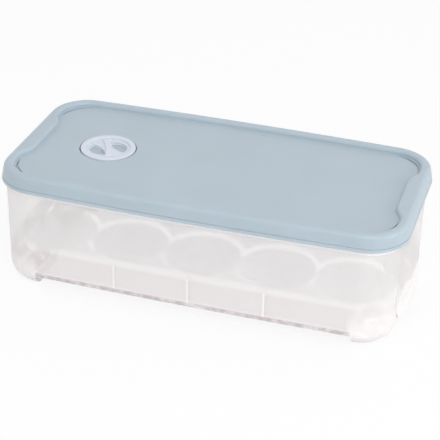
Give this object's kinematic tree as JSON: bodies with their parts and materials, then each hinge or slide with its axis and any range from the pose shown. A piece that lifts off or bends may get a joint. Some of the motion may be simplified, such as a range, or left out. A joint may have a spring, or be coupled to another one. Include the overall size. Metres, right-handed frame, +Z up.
{
  "type": "egg keeper",
  "caption": "Oblong egg keeper: see-through box on corner feet, lift-out tray of egg cups and a lift-off lid with a turning vent.",
  "frame": {"origin": "middle of the plan at the level of the feet's undersides", "axes": "+X along the length, away from the vent's end; +Y towards the back; +Z up"},
  "size_m": [0.29, 0.1442, 0.0896],
  "materials": {
    "frosted_box": "frosted see-through polypropylene, satin",
    "clear_tray": "clear plastic, glossy",
    "blue_lid": "grey-blue polypropylene, satin",
    "soft_seal": "soft white silicone",
    "white_knob": "white plastic, slightly glossy"
  },
  "bodies": {
    "base": {"base_box": "frosted_box"},
    "tray": {"egg_tray": "clear_tray"},
    "lid": {"lid": "blue_lid", "lid_seal": "soft_seal"},
    "vent": {"vent_knob": "white_knob", "vent_seal": "soft_seal", "vent_retainer": "white_knob"}
  },
  "joints": [
    {"name": "tray_lift", "type": "slide", "parent": "base", "child": "tray", "axis": [0, 0, 1], "range_m": [0, 0.08]},
    {"name": "lid_lift", "type": "slide", "parent": "tray", "child": "lid", "axis": [0, 0, 1], "range_m": [0, 0.08]},
    {"name": "vent_turn", "type": "hinge", "parent": "lid", "child": "vent", "pos_m": [-0.083, 0, 0.0857], "axis": [0, 0, 1], "range_deg": [0, 90]}
  ]
}
